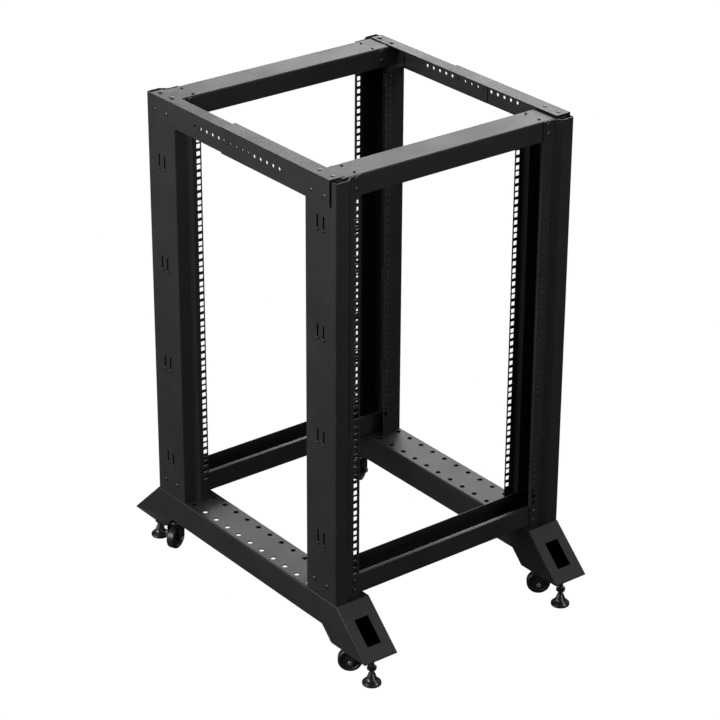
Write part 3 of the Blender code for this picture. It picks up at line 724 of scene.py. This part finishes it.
def build_leveller(end, side):
    """Dress one levelling foot: moulded pad, threaded stud and chamfered nut."""
    label = end + "_" + side
    body = "leveller_" + label
    place = Vector((SIDES[side] * LEVELLER_X, ENDS[end] * LEVELLER_Y, 0))

    pad = mesh_object("levelling_pad_" + label, turned(pad_profile(), PAD_SIDES), COATS["pad"], SHARP["pad"])
    pad.location = place
    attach(pad, body)
    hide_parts("levelling_foot_" + label)

    rod = bmesh.new()
    thread(rod, CONE_TOP - STUD_SINK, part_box("levelling_foot_" + label)[1].z, THREAD_SIDES)
    stud = mesh_object("levelling_stud_" + label, rod, COATS["stud"], SHARP["stud"])
    stud.location = place
    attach(stud, body)

    data = nut_data()
    data.name = "jam_nut_" + label
    nut = linked("jam_nut_" + label, data)
    data.materials.clear()
    data.materials.append(COATS["nut"])
    smooth(data, SHARP["nut"])
    nut.location = place
    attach(nut, body)
    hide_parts("foot_nut_" + label)


def collar_profile(low, high):
    """Give the outline of a bearing collar between two heights, with its waist in the middle."""
    half = (high - low) / 2
    rounding = half * COLLAR_ROUND_SHARE
    centre = COLLAR_RADIUS - rounding
    waist = COLLAR_RADIUS - COLLAR_WAIST
    profile = [(0, low), (COLLAR_RADIUS - COLLAR_FLAT_INSET, low)]
    profile += arc((centre, low + rounding), rounding, COLLAR_LOWER_ARC)
    profile += [(waist, low + half), (waist, low + half * COLLAR_WAIST_SHARE)]
    profile += arc((centre, high - rounding), rounding, COLLAR_UPPER_ARC)
    profile += [(0, high)]
    return profile


def wheel_profile():
    """Give the closed outline of a wheel: bore, hub, recessed disc, rim and rounded tread."""
    half = [(AXLE_RADIUS + AXLE_GAP, HUB_REACH), (HUB_RADIUS - HUB_CHAMFER, HUB_REACH),
            (HUB_RADIUS, HUB_REACH - HUB_CHAMFER), (HUB_RADIUS, HUB_ROOT),
            (DISC_INNER_RADIUS, DISC_HALF_WIDTH), (DISC_OUTER_RADIUS, DISC_HALF_WIDTH), DISC_STEP,
            (RIM_INNER_RADIUS, WHEEL_HALF_WIDTH - RIM_CHAMFER), (RIM_OUTER_RADIUS, WHEEL_HALF_WIDTH)]
    half += arc((WHEEL_RADIUS - TREAD_ROUNDING, WHEEL_HALF_WIDTH - TREAD_ROUNDING), TREAD_ROUNDING, TREAD_ARC)
    return half + [(radius, -height) for radius, height in reversed(half)]


def bolt_shape():
    """Build the axle bolt along the vertical: head, shank and nut."""
    bolt = bmesh.new()
    outline = polygon(AXLE_HEAD_RADIUS, HEXAGON_SIDES)
    add_prism(bolt, outline, AXLE_FACE, AXLE_FACE + AXLE_HEAD_HEIGHT)
    add_prism(bolt, outline, -AXLE_FACE - AXLE_HEAD_HEIGHT * AXLE_NUT_SHARE, -AXLE_FACE)
    add_prism(bolt, polygon(AXLE_RADIUS, AXLE_SIDES), -AXLE_FACE - AXLE_HEAD_HEIGHT, AXLE_FACE)
    return bolt


def joint_named(name):
    """Find a joint of the frame."""
    return next(joint for joint in frame["joints"] if joint["name"] == name)


def build_caster(end, side):
    """Dress one caster: rounded fork, bearing collar, wheel and axle bolt."""
    label = end + "_" + side
    soften("caster_fork_" + label, "swivel_" + label, COATS["fork"], FORK_ROUNDING)
    soften("caster_stem_" + label, "frame", COATS["fork"], SHEET_ROUNDING)

    low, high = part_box("caster_collar_" + label)
    collar = mesh_object("caster_bearing_" + label, turned(collar_profile(low.z, high.z), COLLAR_SIDES),
                         COATS["zinc"], SHARP["collar"])
    collar.location = ((low.x + high.x) / 2, (low.y + high.y) / 2, 0)
    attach(collar, "frame")
    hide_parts("caster_collar_" + label)

    roll = joint_named("roll_" + label)
    lay = Matrix.Translation(roll["pos_m"]) @ facing(roll["axis"], "X")
    wheel = mesh_object("wheel_" + label, turned(wheel_profile(), WHEEL_SIDES, closed=True),
                        COATS["wheel"], SHARP["wheel"])
    wheel.matrix_world = lay
    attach(wheel, "wheel_" + label)
    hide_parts("caster_wheel_" + label)

    axle = mesh_object("axle_bolt_" + label, bolt_shape(), COATS["zinc"])
    edge = axle.modifiers.new("edge_rounding", "BEVEL")
    edge.width = AXLE_ROUNDING
    edge.segments = ROUNDING_STEPS
    axle.matrix_world = lay
    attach(axle, "swivel_" + label)
    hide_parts("caster_axle_" + label)


def emission(name, tone):
    """Make a plain pale surface that shows the same from all sides."""
    made = bpy.data.materials.new(name)
    made.use_nodes = True
    nodes = made.node_tree.nodes
    nodes.remove(nodes["Principled BSDF"])
    glow = nodes.new("ShaderNodeEmission")
    glow.inputs["Color"].default_value = (tone, tone, tone, 1)
    made.node_tree.links.new(glow.outputs["Emission"], nodes["Material Output"].inputs["Surface"])
    return made


def camera_only(item):
    """Keep a stage piece out of the light and reflections on the rack."""
    item.visible_diffuse = False
    item.visible_glossy = False
    item.visible_transmission = False
    item.visible_shadow = False


def build_stage():
    """Lay the pale floor and the dome behind it."""
    pale = emission("pale_floor", FLOOR_TONE)
    floor = bmesh.new()
    half = FLOOR_SIZE / 2
    floor.faces.new([floor.verts.new((half * wide, half * deep, 0)) for wide, deep in RECTANGLE])
    ground = mesh_object("floor", floor, pale)
    ground.location.z = -FLOOR_DROP
    camera_only(ground)
    shell = bmesh.new()
    bmesh.ops.create_icosphere(shell, subdivisions=DOME_DETAIL, radius=DOME_RADIUS)
    dome = mesh_object("backdrop", shell, pale)
    camera_only(dome)


def build_light():
    """Set the soft boxes and the even studio fill."""
    for name, facts in LIGHTS.items():
        lamp = bpy.data.lights.new(name, "AREA")
        lamp.shape = "RECTANGLE"
        lamp.size, lamp.size_y = facts["size"]
        lamp.energy = facts["power"]
        item = linked(name, lamp)
        item.location = facts["place"]
        item.rotation_euler = (AIM - item.location).to_track_quat("-Z", "Y").to_euler()
    world = bpy.data.worlds.new("studio")
    world.use_nodes = True
    back = world.node_tree.nodes["Background"]
    back.inputs["Color"].default_value = (WORLD_TONE, WORLD_TONE, WORLD_TONE, 1)
    bpy.context.scene.world = world
    bpy.context.scene.view_settings.view_transform = "Standard"


def build_camera():
    """Stand the camera where the photograph was taken."""
    azimuth = math.radians(CAMERA_AZIMUTH)
    elevation = math.radians(CAMERA_ELEVATION)
    roll = math.radians(CAMERA_ROLL)
    back = Vector((math.sin(azimuth) * math.cos(elevation),
                   -math.cos(azimuth) * math.cos(elevation), math.sin(elevation)))
    level_right = Vector((math.cos(azimuth), math.sin(azimuth), 0))
    level_up = back.cross(level_right)
    right = level_right * math.cos(roll) + level_up * math.sin(roll)
    up = level_up * math.cos(roll) - level_right * math.sin(roll)
    lens = bpy.data.cameras.new("camera")
    lens.sensor_width = SENSOR_WIDTH
    lens.lens = FOCAL_PIXELS / PICTURE_WIDTH * SENSOR_WIDTH
    lens.shift_x = -CENTRE_OFFSET[0] / PICTURE_WIDTH
    lens.shift_y = CENTRE_OFFSET[1] / PICTURE_WIDTH
    lens.clip_end = CLIP_END
    item = linked("camera", lens)
    turn = Matrix((right, up, back)).transposed().to_4x4()
    item.matrix_world = Matrix.Translation(CAMERA_PLACE) @ turn
    bpy.context.scene.camera = item


build_camera()
build_light()
build_stage()
build_frame()
build_screws()
build_slots()
build_rivets()
build_lips()
for corner in CORNERS:
    build_leveller(*corner)
    build_caster(*corner)
